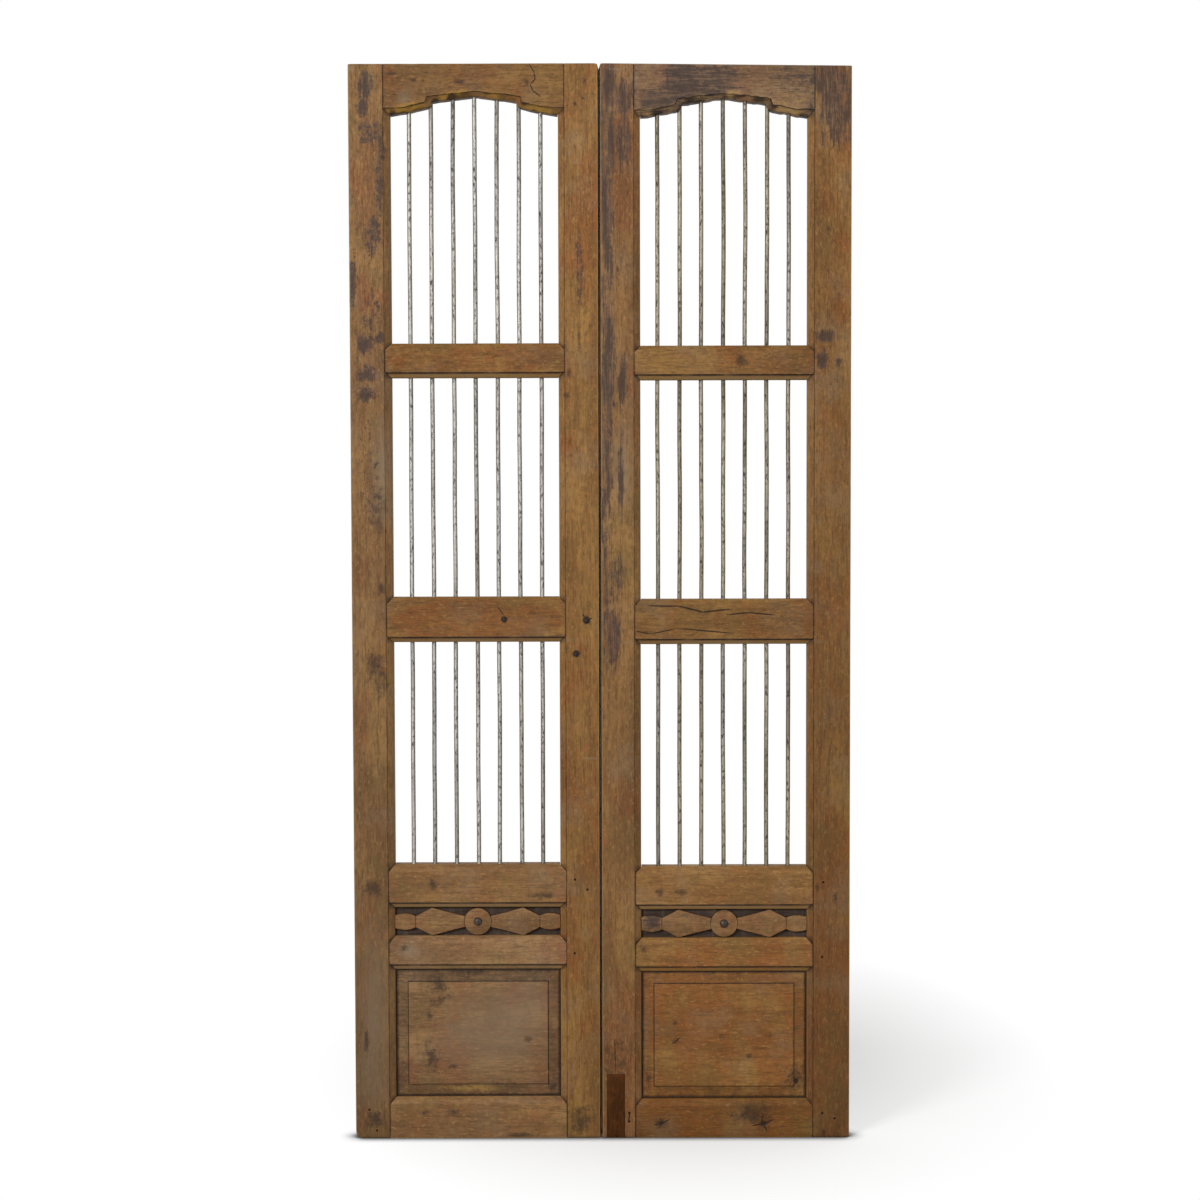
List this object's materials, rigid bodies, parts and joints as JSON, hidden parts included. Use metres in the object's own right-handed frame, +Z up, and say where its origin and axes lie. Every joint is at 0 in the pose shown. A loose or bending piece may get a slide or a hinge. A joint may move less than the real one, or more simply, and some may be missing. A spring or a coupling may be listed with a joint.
{
  "type": "pair of jali doors",
  "caption": "Pair of narrow weathered teak door leaves on butt hinges, with rods in barred openings under a cusped arch, a fret-cut jali strip and a raised panel.",
  "frame": {"origin": "floor level under the middle of the pair's box, leaves closed", "axes": "+X to the viewer's right, +Z up; the moulded front faces -Y and the knuckles are behind, at +Y"},
  "size_m": [0.9246, 0.0466, 1.986],
  "materials": {
    "left_teak": "old teak, waxed thin over worn paint",
    "right_teak": "old teak, waxed thin, darker streaks",
    "patch_teak": "dark let-in repair",
    "backing_board": "bare grey board",
    "rod_iron": "wrought rod, worn bright with rust at the sides",
    "stud_iron": "blackened",
    "hinge_iron": "aged dark iron"
  },
  "bodies": {
    "hinge_frames": {"left_top_hinge_jamb_flap": "hinge_iron", "left_middle_hinge_jamb_flap": "hinge_iron", "left_bottom_hinge_jamb_flap": "hinge_iron", "left_top_hinge_pin": "hinge_iron", "left_middle_hinge_pin": "hinge_iron", "left_bottom_hinge_pin": "hinge_iron", "right_top_hinge_jamb_flap": "hinge_iron", "right_middle_hinge_jamb_flap": "hinge_iron", "right_bottom_hinge_jamb_flap": "hinge_iron", "right_top_hinge_pin": "hinge_iron", "right_middle_hinge_pin": "hinge_iron", "right_bottom_hinge_pin": "hinge_iron"},
    "left_leaf": {"left_hinge_stile": "left_teak", "left_meeting_stile": "left_teak", "left_top_rail": "left_teak", "left_upper_rail": "left_teak", "left_middle_rail": "left_teak", "left_lock_rail": "left_teak", "left_frieze_rail": "left_teak", "left_bottom_rail": "left_teak", "left_jali_strip": "left_teak", "left_panel": "left_teak", "left_jali_backing": "backing_board", "left_jali_stud": "stud_iron", "left_rod_1": "rod_iron", "left_rod_2": "rod_iron", "left_rod_3": "rod_iron", "left_rod_4": "rod_iron", "left_rod_5": "rod_iron", "left_rod_6": "rod_iron", "left_rod_7": "rod_iron", "left_top_hinge_leaf_flap": "hinge_iron", "left_middle_hinge_leaf_flap": "hinge_iron", "left_bottom_hinge_leaf_flap": "hinge_iron"},
    "right_leaf": {"right_hinge_stile": "right_teak", "right_meeting_stile": "right_teak", "right_top_rail": "right_teak", "right_upper_rail": "right_teak", "right_middle_rail": "right_teak", "right_lock_rail": "right_teak", "right_frieze_rail": "right_teak", "right_bottom_rail": "right_teak", "right_jali_strip": "right_teak", "right_panel": "right_teak", "right_repair_patch": "patch_teak", "right_jali_backing": "backing_board", "right_jali_stud": "stud_iron", "right_rod_1": "rod_iron", "right_rod_2": "rod_iron", "right_rod_3": "rod_iron", "right_rod_4": "rod_iron", "right_rod_5": "rod_iron", "right_rod_6": "rod_iron", "right_rod_7": "rod_iron", "right_top_hinge_leaf_flap": "hinge_iron", "right_middle_hinge_leaf_flap": "hinge_iron", "right_bottom_hinge_leaf_flap": "hinge_iron"}
  },
  "joints": [
    {"name": "left_leaf_swing", "type": "hinge", "parent": "hinge_frames", "child": "left_leaf", "pos_m": [-0.45734, 0.01825, 0], "axis": [0, 0, 1], "range_deg": [0, 110]},
    {"name": "right_leaf_swing", "type": "hinge", "parent": "hinge_frames", "child": "right_leaf", "pos_m": [0.45734, 0.01825, 0], "axis": [0, 0, -1], "range_deg": [0, 110]}
  ]
}
